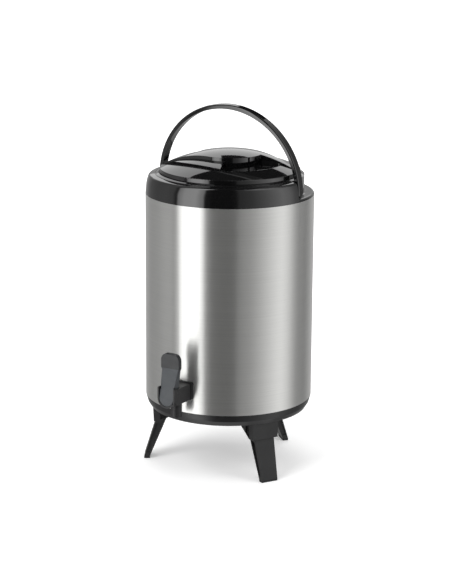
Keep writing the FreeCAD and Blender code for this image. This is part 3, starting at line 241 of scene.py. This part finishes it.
def rubber(name, colour):
    graph = material_graph(name)
    tone = graph.tint(graph.noise(30.0), colour, darker=0.8, lighter=1.3)
    roughness = graph.spread(graph.noise(60.0), (0.6, 0.78))
    normal = graph.bump(graph.noise(1400.0), strength=0.3, distance=0.0002)
    return graph.finish(tone, roughness, normal, Specular_IOR_Level=0.4)


def foam(name, colour):
    graph = material_graph(name)
    cells = graph.add("ShaderNodeTexVoronoi")
    cells.inputs["Scale"].default_value = 420.0
    graph.feed(graph.coordinates(), cells.inputs["Vector"])
    tone = graph.tint(graph.noise(20.0), colour, darker=0.9, lighter=1.06)
    roughness = graph.spread(graph.noise(50.0), (0.85, 0.95))
    normal = graph.bump(cells.outputs["Distance"], strength=0.6, distance=0.0008)
    return graph.finish(tone, roughness, normal, Specular_IOR_Level=0.2)


# A finish for each material of the record
FINISHES = {
    "brushed_steel": steel(
        "shell_steel",
        colour=(0.60, 0.60, 0.585),
        hair=(7.0, 7.0, 650.0),
        gloss=(0.28, 0.31),
        depth=0.000006,
        smear=0.84,
        metallic=0.82,
    ),
    "vessel_steel": steel(
        "vessel_steel",
        colour=(0.66, 0.655, 0.64),
        hair=(30.0, 30.0, 1500.0),
        gloss=(0.22, 0.34),
        depth=0.00005,
    ),
    "gloss_black": plastic(
        "gloss_black",
        colour=(0.004, 0.004, 0.0042),
        gloss=(0.03, 0.07),
        grain_size=90.0,
        grain_depth=0.000006,
        specular=1.0,
        edge=0.0007,
    ),
    "matte_black": plastic(
        "matte_black",
        colour=(0.016, 0.016, 0.0165),
        gloss=(0.42, 0.56),
        grain_size=1500.0,
        grain_depth=0.00025,
        specular=0.45,
    ),
    "black_steel": steel(
        "black_steel",
        colour=(0.03, 0.03, 0.03),
        hair=(900.0, 900.0, 200.0),
        gloss=(0.35, 0.5),
        depth=0.00003,
    ),
    "dark_grey": plastic(
        "dark_grey",
        colour=(0.032, 0.032, 0.034),
        gloss=(0.40, 0.54),
        grain_size=1500.0,
        grain_depth=0.0002,
        specular=0.5,
    ),
    "white_plastic": plastic(
        "white_plastic",
        colour=(0.74, 0.74, 0.72),
        gloss=(0.3, 0.42),
        grain_size=900.0,
        grain_depth=0.0001,
        specular=0.5,
    ),
    "fastener_steel": steel(
        "fastener_steel",
        colour=(0.58, 0.58, 0.59),
        hair=(900.0, 900.0, 200.0),
        gloss=(0.25, 0.38),
        depth=0.00005,
    ),
    "spring_steel": steel(
        "spring_steel",
        colour=(0.6, 0.6, 0.61),
        hair=(300.0, 900.0, 900.0),
        gloss=(0.2, 0.32),
        depth=0.00004,
    ),
    "black_rubber": rubber("black_rubber", (0.016, 0.016, 0.017)),
    "clear_silicone": rubber("clear_silicone", (0.62, 0.62, 0.6)),
    "foam": foam("foam", (0.82, 0.76, 0.55)),
}

# Pieces whose finish differs from the others made of the same stuff
OWN_FINISHES = {
    "base_cover": plastic(
        "base_black",
        colour=(0.006, 0.006, 0.0065),
        gloss=(0.30, 0.42),
        grain_size=400.0,
        grain_depth=0.00004,
        specular=0.5,
    ),
    # The lever's lighter panel and darker pad are partly their own colours, partly painted sheen and
    # painted shade
    "tap_lever": lever_plastic(
        "lever_grey",
        panel_tone_and_sheen=(0.040, 0.045, 0.050),
        pad_tone_and_shade=(0.012, 0.013, 0.0145),
    ),
}


def dress_nodes():
    for entry in frame["record"]["subparts"]:
        item = nodes[entry["node"]]
        finish = OWN_FINISHES.get(entry["node"], FINISHES[entry["material_slot"]])
        item.data.materials.clear()
        item.data.materials.append(finish)


# How far across the shell each band of light shows, from -1 at its left edge to 1 at its
# right edge as the camera sees it, and how bright the light tent is there
BANDS = (
    (-0.99, 0.50),
    (-0.93, 0.29),
    (-0.85, 0.31),
    (-0.74, 0.42),
    (-0.66, 0.38),
    (-0.635, 0.15),
    (-0.615, 0.15),
    (-0.60, 1.40),
    (-0.53, 2.40),
    (-0.40, 2.60),
    (-0.35, 1.90),
    (-0.31, 1.50),
    (-0.29, 0.08),
    (-0.20, 0.01),
    (0.02, 0.01),
    (0.08, 0.04),
    (0.11, 0.19),
    (0.26, 0.32),
    (0.40, 0.62),
    (0.50, 0.90),
    (0.62, 1.25),
    (0.70, 0.98),
    (0.76, 0.53),
    (0.81, 0.27),
    (0.90, 0.20),
    (0.98, 0.55),
)
BRIGHTEST_BAND = 2.6

# The light tent round the object, in metres, and where its plain back begins, in degrees
TENT_RADIUS = 0.5
TENT_FOOT = -0.7
TENT_HEIGHT = 1.7
BACK_START = 145.0

# Stretches of the tent's back, each with its foot, head and light
BACK_LEVELS = (
    (TENT_FOOT, 0.56, 0.5),
    (0.56, 0.8, 1.25),
)

# A higher stretch at the back left: first and last angle, foot, head and light
BACK_LEFT = (185.0, 215.0, 0.8, 1.02, 1.3)

# Behind and above the tent everything is nearly dark
DARK_RADIUS = 0.56
DARK_LIGHT = 0.02
ROOF_HALF = 1.1 * DARK_RADIUS

FLOOR_HALF = 30.0
FLOOR_WHITE = (0.9, 0.9, 0.9, 1.0)

# The floor's own light, near the object and far from it, with the distances between them
FLOOR_FADE = (0.25, 1.1)
FLOOR_GLOW = (0.34, 1.0)

# The sky's light on surfaces, and as the camera and reflections see it
SKY_GLOW = (0.55, 1.0)

LAMP_AIM = Vector((0.0, AXIS_Y, 0.28))


def tent_angle(across):
    """Direction of the spot on the tent that the shell reflects there, from the camera."""
    turn = math.asin(across)
    return math.degrees(2.0 * turn - math.asin(SHELL_RADIUS / TENT_RADIUS * across))


def new_object(name, points, faces, material):
    mesh = bpy.data.meshes.new(name)
    mesh.from_pydata(points, [], faces)
    mesh.materials.append(material)
    item = bpy.data.objects.new(name, mesh)
    bpy.context.scene.collection.objects.link(item)
    return item


def new_square(name, half, material):
    corners = ((-half, -half), (half, -half), (half, half), (-half, half))
    return new_object(name, [(x, y, 0.0) for x, y in corners], [(0, 1, 2, 3)], material)


def only_reflected(item):
    item.visible_camera = False
    item.visible_diffuse = False
    item.visible_shadow = False
    item.visible_transmission = False


def round_wall(name, radius, start, end, low, high, material):
    """An upright wall round the object, seen in reflections only; its angles are counted
    in degrees from the camera towards the right."""
    steps = 96
    points = []
    faces = []
    for level in (low, high):
        for step in range(steps + 1):
            turn = math.radians(start + (end - start) * step / steps)
            points.append((radius * math.sin(turn), -radius * math.cos(turn), level))
    for step in range(steps):
        faces.append((step, step + 1, steps + step + 2, steps + step + 1))
    wall = new_object(name, points, faces, material)
    wall.location = (0.0, AXIS_Y, 0.0)
    wall.rotation_euler = (0.0, 0.0, CAMERA_SIDE)
    only_reflected(wall)


def emission(graph, colour, strength):
    """An emission shader; its colour is a grey level or an output."""
    node = graph.add("ShaderNodeEmission")
    if isinstance(colour, float):
        node.inputs["Color"].default_value = (colour, colour, colour, 1.0)
    else:
        graph.feed(colour, node.inputs["Color"])
    graph.feed(strength, node.inputs["Strength"])
    return node.outputs["Emission"]


def plain_glow(name, level):
    graph = material_graph(name)
    return graph.show(emission(graph, level, 1.0))


def banded_glow():
    """Light that changes with the direction from the shell's axis, as BANDS says."""
    graph = material_graph("studio_bands")
    place = graph.own_place()
    towards_camera = graph.calculate("MULTIPLY", place["Y"], -1.0)
    turn = graph.calculate("ARCTAN2", place["X"], towards_camera)
    ramp = graph.add("ShaderNodeValToRGB")
    stops = ramp.color_ramp.elements
    while len(stops) > 1:
        stops.remove(stops[-1])
    for number, (across, light) in enumerate(BANDS):
        spot = (tent_angle(across) + 180.0) / 360.0
        stop = stops[0] if number == 0 else stops.new(spot)
        stop.position = spot
        level = light / BRIGHTEST_BAND
        stop.color = (level, level, level, 1.0)
    graph.feed(graph.remap(turn, (-math.pi, math.pi), (0.0, 1.0)), ramp.inputs["Fac"])
    return graph.show(emission(graph, ramp.outputs["Color"], BRIGHTEST_BAND))


def make_tent():
    """Bands of light round the front and sides, a low light behind, and dark above it."""
    dark = plain_glow("studio_dark", DARK_LIGHT)
    round_wall("studio_front", TENT_RADIUS, -BACK_START, BACK_START, TENT_FOOT, TENT_HEIGHT, banded_glow())
    for number, (low, high, light) in enumerate(BACK_LEVELS):
        name = "studio_back_" + str(number + 1)
        round_wall(name, TENT_RADIUS, BACK_START, 360.0 - BACK_START, low, high, plain_glow(name, light))
    start, end, low, high, light = BACK_LEFT
    bright = plain_glow("studio_back_left", light)
    round_wall("studio_back_left", TENT_RADIUS, start, end, low, high, bright)
    round_wall("studio_dark", DARK_RADIUS, 0.0, 360.0, BACK_LEVELS[0][1], TENT_HEIGHT, dark)
    roof = new_square("studio_roof", ROOF_HALF, dark)
    roof.location = (0.0, AXIS_Y, TENT_HEIGHT)
    only_reflected(roof)


def make_floor():
    """A pale floor that is white away from the object, and keeps the shadow near it."""
    graph = material_graph("floor")
    shader = graph.shader()
    shader.inputs["Base Color"].default_value = FLOOR_WHITE
    shader.inputs["Roughness"].default_value = 0.9
    shader.inputs["Specular IOR Level"].default_value = 0.1
    path = graph.add("ShaderNodeLightPath")
    place = graph.add("ShaderNodeTexCoord")
    reach = graph.add("ShaderNodeVectorMath", operation="LENGTH")
    graph.feed(place.outputs["Object"], reach.inputs["Vector"])
    fade = graph.remap(reach.outputs["Value"], FLOOR_FADE, FLOOR_GLOW)
    seen = graph.calculate("MAXIMUM", path.outputs["Is Camera Ray"], path.outputs["Is Glossy Ray"])
    strength = graph.calculate("MULTIPLY", seen, fade)
    both = graph.add("ShaderNodeAddShader")
    graph.feed(shader.outputs["BSDF"], both.inputs[0])
    graph.feed(emission(graph, 1.0, strength), both.inputs[1])
    floor = new_square("floor", FLOOR_HALF, graph.show(both.outputs["Shader"]))
    floor.visible_glossy = False


def make_world():
    """A white sky, dimmer as a light than as a background."""
    graph = Graph(bpy.data.worlds.new("studio"))
    bpy.context.scene.world = graph.owner
    sky = graph.nodes["Background"]
    path = graph.add("ShaderNodeLightPath")
    seen = graph.calculate("MAXIMUM", path.outputs["Is Camera Ray"], path.outputs["Is Glossy Ray"])
    seen = graph.calculate("MAXIMUM", seen, path.outputs["Is Transmission Ray"])
    graph.feed(graph.remap(seen, (0.0, 1.0), SKY_GLOW), sky.inputs["Strength"])
    sky.inputs["Color"].default_value = (1.0, 1.0, 1.0, 1.0)


def make_lamp(name, side, distance, height, size, power):
    """A soft square lamp, its side counted in degrees from the camera towards the right."""
    data = bpy.data.lights.new(name, "AREA")
    data.shape = "SQUARE"
    data.size = size
    data.energy = power
    lamp = bpy.data.objects.new(name, data)
    bpy.context.scene.collection.objects.link(lamp)
    angle = CAMERA_SIDE + math.radians(side)
    lamp.location = (math.sin(angle) * distance, AXIS_Y - math.cos(angle) * distance, height)
    lamp.rotation_mode = "QUATERNION"
    lamp.rotation_quaternion = (LAMP_AIM - lamp.location).to_track_quat("-Z", "Y")
    lamp.visible_glossy = False
    lamp.visible_camera = False


make_camera()
dress_nodes()
make_tent()
make_floor()
make_world()
make_lamp("key", side=-45.0, distance=1.9, height=1.9, size=1.2, power=26.0)
make_lamp("fill", side=65.0, distance=2.1, height=1.5, size=1.4, power=16.0)
make_lamp("top", side=180.0, distance=0.9, height=2.3, size=1.4, power=14.0)

bpy.context.scene.view_settings.view_transform = "Standard"
